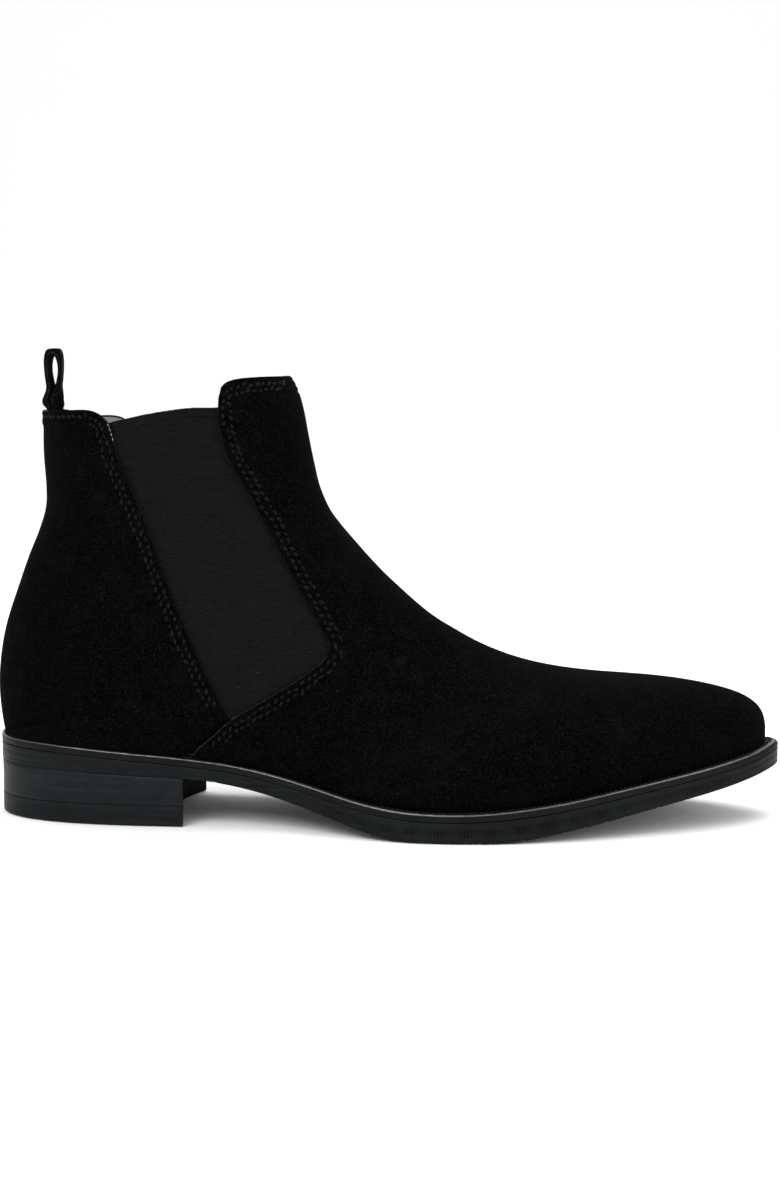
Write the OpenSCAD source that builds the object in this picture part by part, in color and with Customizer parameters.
// Chelsea boot, right foot: every piece of the upper, the bottom stock and the heel as its own solid.
// Frame: origin at the centre of the heel's tread on the ground, +X to the toe, +Y to the inner side
// of the foot, +Z up. Millimetres.

/* [Overall size] */
// Length of the sole, heel back to toe tip
sole_length = 311.5; // [290:0.5:330]
// Greatest width of the sole, across the ball
sole_width = 105; // [98:0.5:112]
// Height of the front of the shaft above the ground
shaft_height = 173; // [165:0.5:185]

/* [Upper] */
// Thickness of the suede
suede_t = 1.4; // [1.0:0.1:1.4]
// Thickness of the elastic gore
gore_t = 1.0; // [0.6:0.1:1.1]
// Thickness of the lining leather
lining_t = 0.9; // [0.6:0.1:1.0]
// Width of elastic hidden under each edge of the suede
gore_lap = 7; // [4:0.5:9]
// Thickness of the heel counter and the toe puff
stiffener_t = 0.9; // [0.7:0.1:1.1]

/* [Stitching] */
// Distance from the cut edge to the first row
row_edge = 2.6; // [2:0.1:4]
// Distance between the two rows
row_gap = 2.4; // [1.6:0.1:3]
// Thickness of the thread
thread_t = 0.45; // [0.3:0.05:0.6]

/* [Bottom] */
// Thickness of the welt strip
welt_t = 3.0; // [2.4:0.1:3.4]
// Width of the welt strip
welt_w = 7.5; // [6:0.5:8]
// Thickness of the insole board
board_t = 1.9; // [1.2:0.1:2.0]
// Thickness of the leather sock
sock_t = 1.1; // [0.8:0.1:1.4]
// Thickness of the heel pad
pad_t = 3.2; // [2:0.2:4]
// Thickness of the top lift, the wearing layer of the heel
lift_t = 8; // [6:0.5:9]
// Distance along the sole at which the forepart flexes
flex_x = 176; // [172:1:180]

/* [Fasteners] */
// Number of nails round the heel seat
heel_nails_n = 5; // [3:1:7]
// Shank diameter of a heel nail
nail_d = 2.2; // [1.6:0.1:2.6]

/* [Pull tab] */
// Width of the pull tab's strap
tab_w = 20; // [16:0.5:22]

/* [Hidden] */

// Scale of each axis from the reference size, at which all the shape tables are given
kx = sole_length / 311.5;
ky = sole_width / 105;
kz = shaft_height / 173;

gap = 0.12;                          // clearance between layers of the bottom
split = 0.1;                         // clearance on each side of the flex line
lining_outer = suede_t + 1.6;        // depths of the lining's faces below the suede's surface
lining_inner = lining_outer + lining_t;
inside_inset = lining_inner + 0.6;   // from the foot of the upper to the edge of the insole board
min_half = 0.8;                      // least half width of a slab, at its rounded ends

SUEDE = [0.07, 0.07, 0.08];
ELASTIC = [0.16, 0.17, 0.19];
LINING = [0.42, 0.4, 0.38];
STIFFENER = [0.75, 0.68, 0.55];
STRAP = [0.1, 0.1, 0.11];
UPPER_THREAD = [0.2, 0.2, 0.21];
WELT_THREAD = [0.12, 0.12, 0.13];
BOARD = [0.76, 0.64, 0.45];
SOCK = [0.15, 0.14, 0.14];
PAD = [0.85, 0.82, 0.7];
SHANK = [0.62, 0.63, 0.66];
RIVET = [0.75, 0.72, 0.6];
FILLER = [0.62, 0.47, 0.32];
SOLE = [0.13, 0.14, 0.15];
HEEL = [0.15, 0.16, 0.17];
TOP_LIFT = [0.12, 0.12, 0.13];
NAIL = [0.7, 0.7, 0.72];

// ---- interpolation -------------------------------------------------------------------------
function mix(a, b, t) = a + (b - a)*t;
function clamp(v, low, high) = max(low, min(high, v));
function unit(v) = v / max(1e-9, norm(v));
function catmull(a, b, c, d, t) =
  0.5 * (2*b + (c - a)*t + (2*a - 5*b + 4*c - d)*t*t + (3*b - a - 3*c + d)*t*t*t);
// Row of a table at a fractional index
function sample(T, p) = let (n = len(T) - 1, q = clamp(p, 0, n), i = min(n - 1, floor(q)))
  catmull(T[max(0, i - 1)], T[i], T[i + 1], T[min(n, i + 2)], q - i);
function segment(T, x, i = 0) = (i >= len(T) - 2 || T[i + 1][0] >= x) ? i : segment(T, x, i + 1);
function slope(T, i) = let (a = max(0, i - 1), b = min(len(T) - 1, i + 1))
  (T[b][1] - T[a][1]) / (T[b][0] - T[a][0]);
// Smooth curve through a table of [x, value]; beyond its ends it keeps the end value
function curve(T, x) = let (
    i = segment(T, x),
    h = T[i + 1][0] - T[i][0],
    t = clamp((x - T[i][0]) / h, 0, 1))
  (2*t*t*t - 3*t*t + 1)*T[i][1] + (t*t*t - 2*t*t + t)*h*slope(T, i)
  + (3*t*t - 2*t*t*t)*T[i + 1][1] + (t*t*t - t*t)*h*slope(T, i + 1);
// Positions from start to end, crowded towards the rounded ends
function spaced(start, end, n, round_start = false, round_end = false) = [for (i = [0:n]) let (
    a = i/n,
    b = (round_start && round_end) ? (1 - cos(180*a))/2
      : round_start ? 1 - cos(90*a) : round_end ? sin(90*a) : a)
  mix(start, end, b)];
// Scales x about a rear and a fore pivot, and leaves it alone between them
function stretch(x, rear_x, fore_x, rear, fore) = x < rear_x ? rear_x + (x - rear_x)*rear
  : x > fore_x ? fore_x + (x - fore_x)*fore : x;

// ---- shape of the last, at the reference size ----------------------------------------------
// Top of the welt: [x, z]
WELT_TOP = [[-38.5,31.6],[-18,31],[0,29.9],[14,28.9],[28,27.9],[41,26.7],[58,24.6],[74,21.6],
  [90,18.1],[105,14.6],[117,12.5],[128,11.4],[142,11],[156,11.4],[172,12.8],[189,15.1],[205,17.9],
  [222,20.7],[239,23.5],[253,26.2],[262,28.3],[267,29.9],[273,31.8]];
// Underside of the sole: [x, z]
SOLE_UNDER = [[-38.5,21.6],[0,20.4],[24,19.6],[40,18.9],[48,18.2],[58,16.6],[66,15],[74,13.1],
  [86,9.9],[98,6.4],[108,3.4],[116,1.5],[124,0.4],[132,0],[156,0],[164,0.3],[172,1],[185,3.2],
  [200,6],[215,9.1],[230,12],[242,14.3],[252,16.4],[260,18.3],[267,20.2],[273,21.8]];
// Half width of the sole, outer and inner side: [x, half width]
SOLE_OUT = [[-38.5,0],[-37.9,5.2],[-36.2,10.4],[-33,15.6],[-28,20.4],[-20,25.2],[-10,28.9],
  [0,31.2],[14,33],[28,33.9],[42,34.2],[58,34.7],[74,37],[90,42.4],[105,48.6],[117,52.8],[130,55.6],
  [145,56.5],[160,55.9],[172,54.2],[189,50.4],[205,45.2],[222,38.3],[239,30.4],[250,24.6],
  [258,19.4],[264,14.4],[268,10],[271,5.4],[272.5,1]];
SOLE_IN = [[-38.5,0],[-37.9,5.2],[-36.2,10.4],[-33,15.6],[-28,20.4],[-20,25.2],[-10,28.7],
  [0,30.8],[14,32.2],[28,32.3],[42,31.2],[58,28.8],[74,27],[90,28.6],[105,33.4],[117,38.2],
  [130,42.8],[145,46.6],[160,48.4],[172,48.5],[189,46.9],[205,43],[222,37.2],[239,30],[250,24.4],
  [258,19.4],[264,14.4],[268,10],[271,5.4],[272.5,1]];
// Half width of the upper where it meets the welt, outer and inner side: [x, half width]
FOOT_OUT = [[-37.2,0],[-36.7,4.4],[-35.2,9.2],[-32,14],[-27,18.6],[-19,23.2],[-9,27],[0,29.1],
  [14,30.8],[28,31.4],[42,31.5],[58,31.4],[74,33],[90,37.8],[105,43.8],[117,47.8],[130,50.6],
  [145,51.6],[160,51],[172,49.5],[189,45.7],[205,40.6],[222,33.8],[239,25.8],[250,19.8],[257,15.2],
  [261.5,11.4],[264.6,7.7],[266.4,4.2],[267.2,0]];
FOOT_IN = [[-37.2,0],[-36.7,4.4],[-35.2,9.2],[-32,14],[-27,18.6],[-19,23.2],[-9,26.8],[0,28.6],
  [14,29.9],[28,29.6],[42,28.4],[58,26],[74,24],[90,25.2],[105,29.6],[117,34.2],[130,38.6],
  [145,42.2],[160,43.8],[172,43.9],[189,42.3],[205,38.4],[222,32.7],[239,25.5],[250,19.7],
  [257,15.2],[261.5,11.4],[264.6,7.7],[266.4,4.2],[267.2,0]];
// Sections of the upper: front point x, z; back point x, z (z 0 means on the welt); half width at
// the widest place, outer and inner; and how far along the section the widest place is
SECTIONS = [[78.6,174,-18.6,174,31.4,31.4,.5],[81.8,168,-18.7,168,31.8,31.8,.5],
  [84.2,160,-18.9,160,32.2,32.2,.5],[86.1,150,-19.1,150,32.4,32.4,.5],
  [88.1,140,-18.9,140,32.2,32.2,.5],[90.4,130,-18.4,130,31.8,31.8,.5],
  [94,121.4,-18.9,121.4,31.6,31.6,.5],[98.3,115.2,-22,111.8,32,31.8,.5],
  [102.3,110.4,-26.1,102,32.6,32.2,.5],[106.3,105.8,-29.6,92.4,33.4,32.8,.5],
  [110.3,101.4,-33.1,82.7,34.2,33.4,.5],[114.2,97.3,-36.1,72.9,34.9,33.9,.5],
  [118.1,93.5,-38,63,35.4,34.2,.5],[122.1,89.8,-39,53,35.8,34.3,.5],
  [126.1,86.2,-38.8,43.5,36,34.3,.5],[130.1,82.7,-37.2,0,36,34.2,.5],
  [134,79.6,-34.4,0,36,34,.52],[138,76.9,-26,0,35.9,33.7,.55],[142,74.5,-12,0,35.8,33.2,.6],
  [146,72.2,6,0,35.6,32.5,.65],[150,70,26,0,35.4,31.6,.7],[154.4,67.8,46,0,35.6,30.8,.74],
  [160.4,65.3,68,0,37,30.6,.77],[168,62.7,92,0,41.4,32.4,.79],[177,60.3,116,0,49.6,37.6,.8],
  [186,58.6,139,0,53.4,43,.8],[195,57.4,160,0,52.8,45.6,.8],[204,56.6,180,0,49.6,44.9,.8],
  [213,56.1,198,0,44.8,41.8,.8],[222,55.5,214,0,38.9,37.2,.8],[231,54.6,228,0,32.6,31.9,.8],
  [239.5,53.4,239.5,0,26.7,26.4,.8],[247,51.9,248,0,21.9,21.7,.8],[253,50.3,253.8,0,18.2,18.1,.8],
  [258,48.4,258.3,0,15,15,.8],[262,46,262.1,0,11.5,11.5,.8],[264.8,43.2,264.8,0,7.9,7.9,.8],
  [266.4,39.9,266.4,0,4.5,4.5,.8],[267.2,36,267.2,0,0,0,.8]];
// Seam lines, side view: [x, z]
VAMP_EDGE = [[54,178],[53.8,166],[54.1,158.8],[55.8,150],[59.2,140.4],[64.4,130.8],[69.6,121.2],
  [75.7,109.8],[82.7,96.2],[88.8,85.2],[93.6,76.9],[96.2,72.6],[96.6,69.4],[94.2,65.2],[89.5,61.4],
  [80.6,55.4],[71.8,50.2],[62.9,45.2],[58,41.8],[50.6,35.2],[46,31.2],[42,26],[40,22]];
QUARTER_EDGE = [[11.4,178],[11.8,156],[12.8,151.3],[15.5,142],[19.3,133.4],[24,122],[29.6,107.7],
  [35.6,92],[41.4,77.6],[46.9,65],[52.1,53.8],[56.5,45.6],[59.4,40.6],[62.4,35],[65.6,27],[67.4,20]];
COUNTER_EDGE = [[-30,95],[-12,80],[4,66],[14,52],[20,40],[24,20]];
// Top edges, side view: [x, z]
FLAP_TOP = [[53,165],[54,167.6],[56,169.8],[58.6,171.2],[62.7,172.2],[67.3,172.7],[73,173],[80,173]];
QUARTER_TOP = [[-20,159.6],[-8,160.3],[1,160.7],[5,160.3],[7.6,159.2],[9.8,157.4],[12,154.6],[13,152]];
GORE_TOP = [[4,153.6],[12.7,156.4],[19.6,158],[28,159.8],[39.7,161.6],[47.3,162.2],[53.5,162],[64,161.6]];

// Stations, as fractional rows of SECTIONS
TIP = len(SECTIONS) - 1;
SHAFT_FOOT = 6;       // lowest level section of the shaft
CLOSED = 15;          // where the heel seam ends on the welt
QUARTER_END = 20.55;
VAMP_END = 20.8;      // from here on the vamp reaches the welt
VAMP_START = 6.02;
NOSE = 37.7;
SHAFT_FOOT_Z = SECTIONS[SHAFT_FOOT][1];

// Side is -1 on the outer side of the foot and 1 on the inner
function welt_z(x) = kz*curve(WELT_TOP, x/kx);
function under_z(x) = kz*curve(SOLE_UNDER, x/kx);
function sole_half(x, side) = ky*max(1, curve(side < 0 ? SOLE_OUT : SOLE_IN, x/kx));

// ---- surface of the upper ------------------------------------------------------------------
// p, the station, runs down the shaft and along the foot; t is 0 on the front line, 1 at the widest
// place and 2 on the back line or the welt, negative on the outer side of the foot
STATIONS = [for (i = [0:TIP]) let (
    s = SECTIONS[i],
    low = s[3] == 0,
    spare = i < TIP ? 0.2 : 0,
    foot_out = low ? curve(FOOT_OUT, s[2]) : 0,
    foot_in = low ? curve(FOOT_IN, s[2]) : 0)
  [kx*s[0], kz*s[1], kx*s[2], low ? kz*curve(WELT_TOP, s[2]) + 0.15 : kz*s[3],
   max(ky*s[4], foot_out + spare), max(ky*s[5], foot_in + spare), s[6]]];

// Section at p, as a list of: front point, back point, half widths at the widest place, half widths
// at the foot (both outer, inner) and the share of the way at which the widest place lies.
// Past CLOSED the back point runs along the line where the upper meets the welt.
FRONT = 0;
BACK = 1;
WIDE = 2;
FOOT = 3;
WIDEST = 4;
function section(p) = let (
    row = sample(STATIONS, p),
    low = p > CLOSED,
    foot = [for (T = [FOOT_OUT, FOOT_IN]) low ? ky*curve(T, row[2]/kx) : 0])
  [[row[0], row[1]], [row[2], low ? welt_z(row[2]) + 0.15 : row[3]],
   [max(row[4], foot[0] + 0.05), max(row[5], foot[1] + 0.05)], foot, row[6]];

// Share of the way from the front to the back point at t, and its inverse
function share(t, widest) = t <= 1 ? widest*(1 - cos(90*t)) : widest + (1 - widest)*sin(90*(t - 1));
function t_of(u, widest) = u <= widest ? acos(1 - u/widest)/90
  : 1 + asin((u - widest)/(1 - widest))/90;

// Point of the surface; t past 2 carries on round the back to the other side
function surface_at(p, t) = let (
    q = abs(t) > 2 ? -sign(t)*(4 - abs(t)) : t,
    a = abs(q),
    s = section(p),
    k = q < 0 ? 0 : 1,
    wide = s[WIDE][k],
    foot = s[FOOT][k],
    y = a <= 1 ? wide*sin(90*a) : foot + (wide - foot)*cos(90*(a - 1)),
    c = mix(s[FRONT], s[BACK], share(a, s[WIDEST])))
  [c[0], (q < 0 ? -1 : 1)*y, c[1]];

STEP = 0.02;   // step in p and t for the surface's tangents
function facing(p, t0) = let (
    limit = p > CLOSED ? 1.85 : 3,
    t = clamp(t0, -limit, limit),
    along = surface_at(p + STEP, t) - surface_at(p - STEP, t),
    across = surface_at(p, t + STEP) - surface_at(p, t - STEP),
    n = unit(cross(along, across)),
    s = section(p),
    c = mix(s[FRONT], s[BACK], 0.55),
    outward = surface_at(p, t) - [c[0], 0, c[1]])
  n*outward < 0 ? -n : n;
// Outward normal, blended across the stations round CLOSED
BLEND = [14.6, 16.5];
function normal(p, t) = (p > BLEND[0] && p < BLEND[1])
  ? unit(mix(facing(BLEND[0], t), facing(BLEND[1], t), (p - BLEND[0])/(BLEND[1] - BLEND[0])))
  : facing(p, t);
function below(p, t, depth) = surface_at(p, t) - depth*normal(p, t);

// Station of a level of the shaft, and x of a place; both at the reference size
function level(z) = lookup(z,
  [[121.4, 6], [130, 5], [140, 4], [150, 3], [160, 2], [168, 1], [174, 0]]);
function ref_x(p, t) = let (s = section(p)) mix(s[FRONT][0], s[BACK][0], share(t, s[WIDEST]))/kx;

// Share of the way along section s at which a side-view line first crosses it; 1 when it doesn't
function crossing(s, line) = let (
    d = s[BACK] - s[FRONT],
    n = [-d[1], d[0]],
    L = [for (q = line) [kx*q[0], kz*q[1]]],
    off = [for (q = L) (q - s[FRONT])*n],
    hits = [for (i = [0:len(L) - 2]) if (off[i]*off[i + 1] <= 0 && off[i] != off[i + 1])
      let (q = mix(L[i], L[i + 1], off[i]/(off[i] - off[i + 1]))) ((q - s[FRONT])*d)/(d*d)],
    inside = [for (v = hits) if (v > -0.01 && v < 1.01) v])
  len(inside) > 0 ? clamp(inside[0], 0, 1) : 1;
// t of a seam, moved mm along the section, towards the back when mm is positive
function seam_t(p, line, mm = 0) = let (s = section(p))
  t_of(clamp(crossing(s, line) + mm/norm(s[BACK] - s[FRONT]), 0, 1), s[WIDEST]);
function vamp_t(p, mm = 0) = p >= VAMP_END ? 2 : seam_t(p, VAMP_EDGE, mm);
function quarter_t(p, mm = 0) =
  max(seam_t(p, QUARTER_EDGE, mm), p > 12 ? seam_t(p, VAMP_EDGE, mm + 0.25) : 0);

// ---- solids from grids ---------------------------------------------------------------------
function quad(a, b, c, d) = [[a, b, c], [a, c, d]];
function flipped(faces) = [for (f = faces) [f[2], f[1], f[0]]];

// Shell between two depths below the surface, with a grid of n by m cells on each side of the foot.
// P and T give the station and t of row i, column j. The halves join on the front line
// (join_front), on the back line down to CLOSED (join_back) and across the last row (tip).
module shell(n, m, P, T, outer, inner, join_front = false, join_back = false, tip = false,
    sides = [-1, 1]) {
  size = (n + 1)*(m + 1);
  two = len(sides) == 2;
  points = [for (depth = [outer, inner]) for (s = sides) for (i = [0:n]) for (j = [0:m])
    let (v = below(P(i, j), s*T(i, j), depth)) (join_front && j == 0) ? [v[0], 0, v[2]] : v];
  shut = [for (i = [0:n]) join_back && P(i, m) <= CLOSED + 1e-6];
  // Index of a point: layer 0 outer, 1 inner; s is the place in sides
  function at(layer, s, i, j) = let (
      shared = s == 1 && ((join_front && j == 0) || (shut[i] && j == m)))
    layer*len(sides)*size + (shared ? 0 : s*size) + i*(m + 1) + j;
  function half(s) = [
    for (i = [0:n - 1]) for (j = [0:m - 1])
      each quad(at(0,s,i,j), at(0,s,i+1,j), at(0,s,i+1,j+1), at(0,s,i,j+1)),
    for (i = [0:n - 1]) for (j = [0:m - 1])
      each quad(at(1,s,i,j+1), at(1,s,i+1,j+1), at(1,s,i+1,j), at(1,s,i,j)),
    for (j = [0:m - 1]) each quad(at(0,s,0,j), at(0,s,0,j+1), at(1,s,0,j+1), at(1,s,0,j)),
    if (!tip) for (j = [0:m - 1])
      each quad(at(0,s,n,j+1), at(0,s,n,j), at(1,s,n,j), at(1,s,n,j+1)),
    if (!(join_front && two)) for (i = [0:n - 1])
      each quad(at(0,s,i+1,0), at(0,s,i,0), at(1,s,i,0), at(1,s,i+1,0)),
    for (i = [0:n - 1]) if (!(shut[i] && shut[i + 1] && two))
      each quad(at(0,s,i,m), at(0,s,i+1,m), at(1,s,i+1,m), at(1,s,i,m))];
  nose = !tip ? [] : [
    [at(0,0,n,1), at(0,0,n,0), at(0,1,n,1)],
    [at(1,0,n,0), at(1,0,n,1), at(1,1,n,1)],
    for (j = [1:m - 1]) each quad(at(0,0,n,j), at(0,1,n,j), at(0,1,n,j+1), at(0,0,n,j+1)),
    for (j = [1:m - 1]) each quad(at(1,0,n,j+1), at(1,1,n,j+1), at(1,1,n,j), at(1,0,n,j)),
    each quad(at(0,0,n,m), at(0,1,n,m), at(1,1,n,m), at(1,0,n,m))];
  halves = [for (s = [0:len(sides) - 1]) each (sides[s] < 0 ? half(s) : flipped(half(s)))];
  polyhedron(points, concat(halves, nose), convexity = 8);
}

// Solid from a row of four-cornered loops, with flat ends
module skin(loops) {
  n = len(loops);
  k = len(loops[0]);
  first = loops[0];
  centre = mix(first[0], first[2], 0.5);
  next_centre = mix(loops[1][0], loops[1][2], 0.5);
  areas = [for (i = [0:k - 1]) cross(first[i] - centre, first[(i + 1) % k] - centre)];
  area = [for (axis = [0:2]) [for (v = areas) v[axis]]*[for (v = areas) 1]];
  faces = [
    for (i = [0:n - 2]) for (j = [0:k - 1])
      each quad(i*k + j, (i + 1)*k + j, (i + 1)*k + (j + 1)%k, i*k + (j + 1)%k),
    for (j = [1:k - 2]) each [[0, j, j + 1], [(n - 1)*k, (n - 1)*k + j + 1, (n - 1)*k + j]]];
  polyhedron([for (loop = loops) each loop],
    area*(next_centre - centre) > 0 ? faces : flipped(faces), convexity = 8);
}

// Slab along the sole: half(x, side) is its half width, low(x) and high(x) are its heights
module slab(xs, half, low, high) skin([for (x = xs)
  [[x, -half(x, -1), low(x)], [x, half(x, 1), low(x)],
   [x, half(x, 1), high(x)], [x, -half(x, -1), high(x)]]]);

// Direction of a path at point i
function heading(path, i) = unit(path[min(len(path) - 1, i + 1)] - path[max(0, i - 1)]);

// Thread laid on the upper along a list of [p, t]
module thread(places) {
  path = [for (q = places) surface_at(q[0], q[1])];
  skin([for (i = [0:len(path) - 1]) let (
      n = normal(places[i][0], places[i][1]),
      side = unit(cross(n, heading(path, i)))*thread_t/2,
      low = path[i] + 0.08*n,
      high = low + thread_t*n)
    [low - side, low + side, high + side, high - side]]);
}

// Row of stitching on the welt, 0.7 wide and 0.5 high
module bead(path) skin([for (i = [0:len(path) - 1]) let (
    q = path[i],
    side = unit(cross([0, 0, 1], heading(path, i)))*0.35,
    up = [0, 0, 0.5])
  [q - side, q + side, q + side + up, q - side + up]]);

// ---- upper ---------------------------------------------------------------------------------
VAMP_ROWS = 44;
VAMP_EASE = 0.98;   // below 1 it moves the rows slightly towards the toe
function vamp_station(i, rows, ease) = mix(VAMP_START, NOSE, pow(i/rows, ease));
module vamp_shell(rows, cols, ease, outer, inner) {
  station = function(i, j) vamp_station(i, rows, ease);
  shell(rows, cols, station, function(i, j) vamp_t(station(i, j))*j/cols, outer, inner,
    join_front = true, tip = true);
}
module vamp() color(SUEDE) vamp_shell(VAMP_ROWS, 9, VAMP_EASE, 0, suede_t);
module vamp_lining() color(LINING) vamp_shell(38, 7, 1, lining_outer, lining_inner);

// Flap at the front of the shaft; inset draws in its edges
module flap(outer, inner, rows, cols, inset = 0) {
  bottom = 121.7;
  edge = function(i) vamp_t(level(mix(173 - inset, bottom, i/rows)), -inset);
  across = function(i, j) edge(i)*sin(90*j/cols);
  top = function(j) curve(FLAP_TOP, ref_x(1.5, across(0, j)*0.995)) - inset;
  station = function(i, j) level(mix(top(j), bottom, i/rows));
  shell(rows, cols, station, across, outer, inner, join_front = true);
}
module front_flap() color(SUEDE) flap(0, suede_t, 9, 10);
module flap_lining() color(LINING) flap(lining_outer, lining_inner, 7, 8, inset = 0.6);

// Stations of the quarter, its lining and the counter; row 15 is where the heel seam ends
function quarter_station(i) = i <= 15 ? mix(SHAFT_FOOT, CLOSED, i/15)
  : mix(CLOSED, QUARTER_END, (i - 15)/9);
// drop lowers the top edge; low is the t at which the rows past the heel seam end
module quarter_shell(outer, inner, drop = 0, low = 2) {
  shaft_rows = 5;
  rows = shaft_rows + 24;
  cols = 12;
  edge = function(i) quarter_t(i <= shaft_rows ? level(mix(154.6, SHAFT_FOOT_Z, i/shaft_rows))
    : quarter_station(i - shaft_rows));
  end = function(i) i - shaft_rows > 15.01 ? min(2, max(low, edge(i) + 0.12)) : 2;
  across = function(i, j) mix(edge(i), end(i), j/cols);
  top = function(j) curve(QUARTER_TOP, ref_x(2, across(0, j))) - drop;
  station = function(i, j) i < shaft_rows ? level(mix(top(j), SHAFT_FOOT_Z, i/shaft_rows))
    : quarter_station(i - shaft_rows);
  shell(rows, cols, station, across, outer, inner, join_back = true);
}
module quarter() color(SUEDE) quarter_shell(0, suede_t);
module quarter_lining() color(LINING)
  quarter_shell(lining_outer, lining_inner, drop = 0.6, low = 1.76);

// Elastic panel between the vamp and the quarter, lapped under both
module gore(side) {
  shaft_rows = 5;
  foot_rows = 12;
  cols = 5;
  outer = suede_t + 0.24;
  row_p = function(i) i <= shaft_rows ? level(mix(160, SHAFT_FOOT_Z, i/shaft_rows))
    : mix(SHAFT_FOOT, 18.9, (i - shaft_rows)/foot_rows);
  across = function(i, j)
    mix(vamp_t(row_p(i), -gore_lap), quarter_t(row_p(i), gore_lap), j/cols);
  top = function(j) curve(GORE_TOP, ref_x(2, across(0, j)));
  station = function(i, j) i < shaft_rows ? level(mix(top(j), SHAFT_FOOT_Z, i/shaft_rows))
    : row_p(i);
  shell(shaft_rows + foot_rows, cols, station, across, outer, outer + gore_t, sides = [side]);
}
module gore_lateral() color(ELASTIC) gore(-1);
module gore_medial() color(ELASTIC) gore(1);

// Stiffener round the back of the heel, from half way up to the welt
module heel_counter() color(STIFFENER) {
  cols = 12;
  station = function(i, j) quarter_station(i + 9);
  across = function(i, j) let (p = station(i, j))
    mix(seam_t(p, COUNTER_EDGE), p > CLOSED + 0.01 ? 1.8 : 2, j/cols);
  shell(13, cols, station, across, suede_t + 0.3, suede_t + 0.08 + stiffener_t, join_back = true);
}

// Stiffener that keeps the shape of the toe, on the last rows of the vamp
module toe_puff() color(STIFFENER) {
  rows = 11;
  cols = 9;
  shell(rows, cols, function(i, j) vamp_station(i + VAMP_ROWS - rows, VAMP_ROWS, VAMP_EASE),
    function(i, j) 1.98*j/cols, suede_t + 0.32, suede_t + 0.2 + stiffener_t,
    join_front = true, tip = true);
}

// The two sewn ends of the pull tab's strap, between the quarter and its lining
module pull_tab_ends() color(STRAP)
  shell(4, 4, function(i, j) mix(2.02, 3.3, i/4), function(i, j) mix(2 - 0.148*tab_w/15, 2, j/4),
    suede_t + 0.15, suede_t + 1.45, join_back = true);

// Loop of strap that stands above the back of the top edge; its lower end is round.
// The profile's own y runs up from the centre of that end.
tab_x = kx*-17.4;
tab_z = kz*159.7 + 2.6;
tab_h = 21.6;
function tab_lean(y) = let (a = clamp(y/7, 0, 1)) 2.9*a*a*(3 - 2*a);
// Half thickness of the loop, from its value at the bottom up to the rounded top
function tab_half(y, bottom) = let (a = y/tab_h) bottom
  + (3.6 - bottom)*pow(sin(min(90, 118*a)), 1.4)*sqrt(max(0, 1 - pow(max(0, (a - 0.74)/0.26), 2)));
// The formula of tab_half applies the top's rounding to the swell only
function tab_outer(k, side, bottom) = let (y = tab_h*sin(90*k/20))
  [tab_lean(y) - 0.3 + side*tab_half(y, bottom), y];
function tab_inner(k, side, swell) = let (a = k/14, y = 6.4 + 13*a)
  [tab_lean(y) + side*(0.1 + swell*pow(sin(180*pow(a, 1.25)), 0.7)), y];
module pull_tab() color(STRAP) translate([tab_x, tab_w/2, tab_z]) rotate([90, 0, 0])
  linear_extrude(tab_w) difference() {
    union() {
      circle(r = 1.9, $fn = 32);
      polygon([for (k = [0:20]) tab_outer(k, 1, 2.3), for (k = [19:-1:0]) tab_outer(k, -1, 1.9)]);
    }
    polygon([for (k = [0:14]) tab_inner(k, 1, 1.5), for (k = [13:-1:1]) tab_inner(k, -1, 1.3)]);
  }

// ---- stitching -----------------------------------------------------------------------------
module vamp_stitching() color(UPPER_THREAD) for (s = [-1, 1]) for (r = [0, 1])
  thread([for (i = [0:26]) let (p = mix(6.1, 20.3, i/26))
    [p, s*vamp_t(p, -row_edge - r*row_gap - (p > 15.6 ? 1.6 : 0))]]);

// Two rows down each side of the flap and two along its top
module flap_stitching() color(UPPER_THREAD) for (r = [0, 1]) {
  inset = row_edge + r*row_gap;
  for (s = [-1, 1]) thread([for (i = [0:8]) let (p = level(mix(163 - r, 122.4, i/8)))
    [p, s*vamp_t(p, -inset)]]);
  thread([for (i = [-8:8]) let (t = vamp_t(0.6, -inset - 1.5)*i/8)
    [level(curve(FLAP_TOP, max(57, ref_x(1, abs(t)))) - inset), t]]);
}

// Two rows down the front edge of the quarter and one along its top
module quarter_stitching() color(UPPER_THREAD) {
  for (s = [-1, 1]) for (r = [0, 1]) thread([for (i = [0:24]) let (p = mix(2.75, 17.9, i/24))
    [p, s*quarter_t(p, row_edge + r*row_gap)]]);
  for (s = [-1, 1]) thread([for (i = [0:8]) let (t = mix(quarter_t(2.4, 6), 1.9, i/8))
    [level(curve(QUARTER_TOP, min(6, ref_x(2, t))) - 3.4), s*t]]);
}

welt_row_inset = 1.9*ky;   // from the edge of the welt to its stitching
module welt_stitching_waist() color(WELT_THREAD) for (s = [-1, 1])
  bead([for (i = [0:22]) let (x = mix(kx*116, flex_x - 0.4, i/22))
    [x, s*(sole_half(x, s) - welt_row_inset), welt_z(x) + 0.2]]);
module welt_stitching_forepart() color(WELT_THREAD) {
  place = function(i, s) let (
      a = sin(90*i/24),
      w = sole_half(mix(flex_x, SOLE_TIP, a), s),
      x = mix(flex_x + 0.4, SOLE_TIP - 2.2, a))
    [x, s*(w - min(welt_row_inset, 0.3*w)), welt_z(x) + 0.3];
  bead([for (i = [0:24]) place(i, -1), for (i = [24:-1:0]) place(i, 1)]);
}

// ---- inside the boot -----------------------------------------------------------------------
foot_back = FOOT_OUT[0][0];
foot_tip = FOOT_OUT[len(FOOT_OUT) - 1][0];
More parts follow.
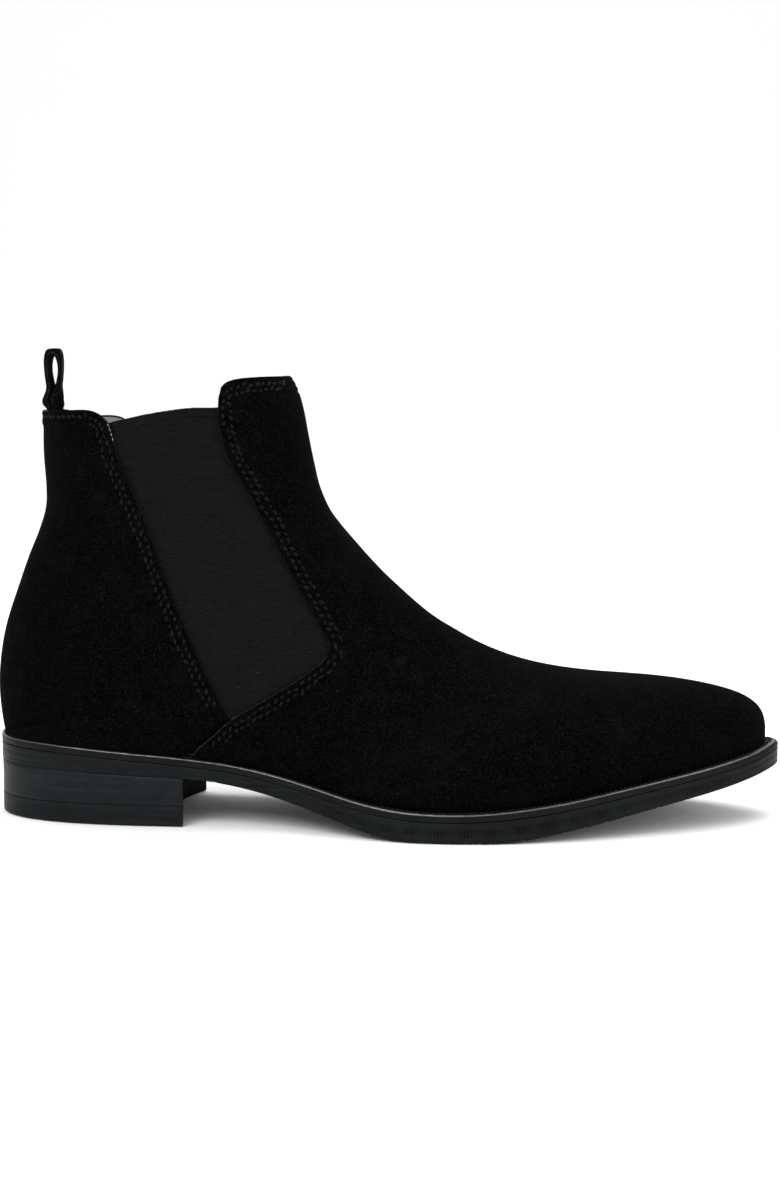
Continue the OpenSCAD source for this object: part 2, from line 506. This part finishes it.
// Half width inside the lining, less a further inset
function inside_half(x, side, inset = 0) = let (
    rear = 30 - foot_back,
    fore = foot_tip - 176,
    s = stretch(x/kx, 30, 176, rear/(rear - inside_inset), fore/(fore - inside_inset)),
    w = ky*curve(side < 0 ? FOOT_OUT : FOOT_IN, s))
  max(min_half, w - inside_inset*min(1, 0.35 + w/24) - inset);
waist_x = spaced(kx*(foot_back + inside_inset) + 0.8, flex_x - split, 40, round_start = true);
forepart_x = spaced(flex_x + split, kx*(foot_tip - inside_inset) - 0.3, 24, round_end = true);

module insole_board(xs, half) color(BOARD) slab(xs, half,
  function(x) welt_z(x) + gap, function(x) welt_z(x) + gap + board_t);
// The board stands clear of the lining round the back of the heel
module insole_board_waist() insole_board(waist_x,
  function(x, s) inside_half(x - 0.5*clamp(-x/20, 0, 1), s, 0.3));
module insole_board_forepart() insole_board(forepart_x, function(x, s) inside_half(x, s));

// The sock rises over the heel pad
function pad_z(x) = welt_z(x) + 2*gap + board_t;
function sock_z(x) = let (a = clamp((x/kx - 34)/30, 0, 1))
  pad_z(x) + (pad_t + gap)*(1 - a*a*(3 - 2*a));
module sock(xs) color(SOCK) slab(xs, function(x, s) inside_half(x, s, 0.4),
  function(x) sock_z(x), function(x) sock_z(x) + sock_t);
module sock_waist() sock(waist_x);
module sock_forepart() sock(forepart_x);
module heel_pad() color(PAD) slab([for (x = waist_x) if (x < kx*52) x],
  function(x, s) inside_half(x, s, 1.5), function(x) pad_z(x), function(x) sock_z(x) - gap);

// ---- bottom --------------------------------------------------------------------------------
sole_back = SOLE_OUT[0][0];
sole_tip = SOLE_OUT[len(SOLE_OUT) - 1][0];
// Ends of the sole's solids, just inside the ends of its outline
SOLE_BACK = kx*(sole_back + 0.1);
SOLE_TIP = kx*(sole_tip - 0.1);

// Strip that bridges the waist from the heel to the ball, in the filler under the insole board
shank_x0 = kx*-2;
shank_x1 = kx*112;
function shank_half(x) =
  max(2.5, 7*sqrt(max(0, 1 - pow((2*x - shank_x0 - shank_x1)/(shank_x1 - shank_x0), 6))));
module shank() color(SHANK)
  slab(spaced(shank_x0, shank_x1, 22, round_start = true, round_end = true),
    function(x, s) shank_half(x), function(x) welt_z(x) - 1.5, function(x) welt_z(x) - 0.3);
module shank_rivets() color(RIVET) for (x = [kx*22, kx*86]) translate([x, 0, welt_z(x) - 2.3]) {
  cylinder(h = board_t + gap + 1.5, d = 4, $fn = 32);
  cylinder(h = 0.5, d = 7, $fn = 32);
}

// The welt's inner edge is the sole's outline drawn in lengthwise beyond two pivots, and in width
welt_rear_x = kx*20;
welt_fore_x = kx*176;
rear_ratio = (20 - sole_back - welt_w)/(20 - sole_back);
fore_ratio = (sole_tip - 176 - welt_w - 1)/(sole_tip - 176);
function welt_inner_x(x) = stretch(x, welt_rear_x, welt_fore_x, rear_ratio, fore_ratio);
function welt_outer_x(x) = stretch(x, welt_rear_x, welt_fore_x, 1/rear_ratio, 1/fore_ratio);
function welt_inner_half(w) = w*max(0.45, 1 - welt_w/w);

// Filler in the space inside the welt strip; drop is from the welt's top to its own
module filler(xs, drop) color(FILLER) slab(xs,
  function(x, s) max(min_half, welt_inner_half(sole_half(welt_outer_x(x), s)) - 0.5),
  function(x) welt_z(x) - welt_t, function(x) welt_z(x) - drop);
module filler_waist() filler(
  spaced(welt_inner_x(SOLE_BACK) + 0.8, flex_x - split, 34, round_start = true), 1.65);
module filler_forepart() filler(
  spaced(flex_x + split, welt_inner_x(SOLE_TIP) - 0.8, 20, round_end = true), 0.1);

// Welt strip: a flat ring on the sole, in two lengths that meet at the flex line.
// xs starts at the end of the boot; the strip runs from the outer side round to the inner.
module welt(xs) color(SOLE) {
  last = len(xs) - 1;
  places = [for (i = [last:-1:0]) [xs[i], -1], for (i = [0:last]) [xs[i], 1]];
  skin([for (q = places) let (
      x = q[0],
      w = sole_half(x, q[1]),
      y = q[1]*w,
      inner_x = welt_inner_x(x),
      inner_y = q[1]*welt_inner_half(w))
    [[x, y, welt_z(x) - welt_t], [x, y, welt_z(x)],
     [inner_x, inner_y, welt_z(inner_x)], [inner_x, inner_y, welt_z(inner_x) - welt_t]]]);
}
sole_forepart_x = spaced(flex_x + split, SOLE_TIP, 22, round_end = true);
module welt_waist() welt(spaced(SOLE_BACK, flex_x - split, 30, round_start = true));
module welt_forepart() welt([for (i = [22:-1:0]) sole_forepart_x[i]]);

module outsole(xs) color(SOLE) slab(xs, function(x, s) sole_half(x, s),
  function(x) under_z(x), function(x) welt_z(x) - welt_t - gap);
module outsole_waist() outsole(concat(spaced(SOLE_BACK, kx*130, 26, round_start = true),
  [for (x = [138:8:170]) kx*x], [flex_x - split]));
module outsole_forepart() outsole(sole_forepart_x);

// ---- heel ----------------------------------------------------------------------------------
breast_x = kx*40;
heel_x = spaced(SOLE_BACK + 0.4, breast_x, 20, round_start = true);
block_inset = 0.5;
lift_inset = 0.2;
function heel_half(x, side, inset) = max(min_half, sole_half(x, side) - inset);

// The breast, the heel's front face, is hollowed to an arc between its two corners
hollow = 8.5;
breast_out = heel_half(breast_x, -1, block_inset);
breast_in = heel_half(breast_x, 1, block_inset);
half_chord = (breast_out + breast_in)/2 - 0.5;
breast_r = (half_chord*half_chord + hollow*hollow)/(2*hollow);
module breast_cut() translate([breast_x - hollow + breast_r, (breast_in - breast_out)/2])
  circle(r = breast_r, $fn = 120);

module heel_block() color(HEEL) difference() {
  slab(heel_x, function(x, s) heel_half(x, s, block_inset),
    function(x) lift_t + 0.06, function(x) under_z(x) - gap);
  translate([0, 0, -5]) linear_extrude(90) breast_cut();
}
module top_lift() color(TOP_LIFT) linear_extrude(lift_t) difference() {
  polygon([for (x = heel_x) [x, -heel_half(x, -1, lift_inset)],
    for (i = [20:-1:0]) [heel_x[i], heel_half(heel_x[i], 1, lift_inset)]]);
  breast_cut();
}

// Fastener driven from inside, through the insole board and the sole into the heel;
// its point stays clear of the top lift
module driven(x, y, clear, d, head_d, head_h, facets) {
  board_top = welt_z(x) + board_t;
  point_z = lift_t + clear;
  translate([x, y, 0]) {
    translate([0, 0, point_z]) cylinder(h = board_top - 0.3 - point_z, d = d, $fn = facets);
    translate([0, 0, board_top - 0.2 - head_h]) cylinder(h = head_h, d = head_d, $fn = facets);
  }
}
module heel_nails() color(NAIL) for (i = [0:heel_nails_n - 1])
  let (a = mix(-100, 100, i/(heel_nails_n - 1)))
  driven(kx*(8 - 27*cos(a)), ky*16*sin(a), clear = 2, d = nail_d, head_d = nail_d + 2,
    head_h = 0.7, facets = 24);
module heel_screw() color(NAIL)
  driven(kx*-11, 0, clear = 1.5, d = 4.2, head_d = 8, head_h = 1.0, facets = 32);

vamp();
front_flap();
quarter();
gore_lateral();
gore_medial();
vamp_lining();
flap_lining();
quarter_lining();
heel_counter();
toe_puff();
pull_tab();
pull_tab_ends();
vamp_stitching();
flap_stitching();
quarter_stitching();
welt_stitching_waist();
welt_stitching_forepart();
insole_board_waist();
insole_board_forepart();
sock_waist();
sock_forepart();
heel_pad();
shank();
shank_rivets();
filler_waist();
filler_forepart();
welt_waist();
welt_forepart();
outsole_waist();
outsole_forepart();
heel_block();
top_lift();
heel_nails();
heel_screw();
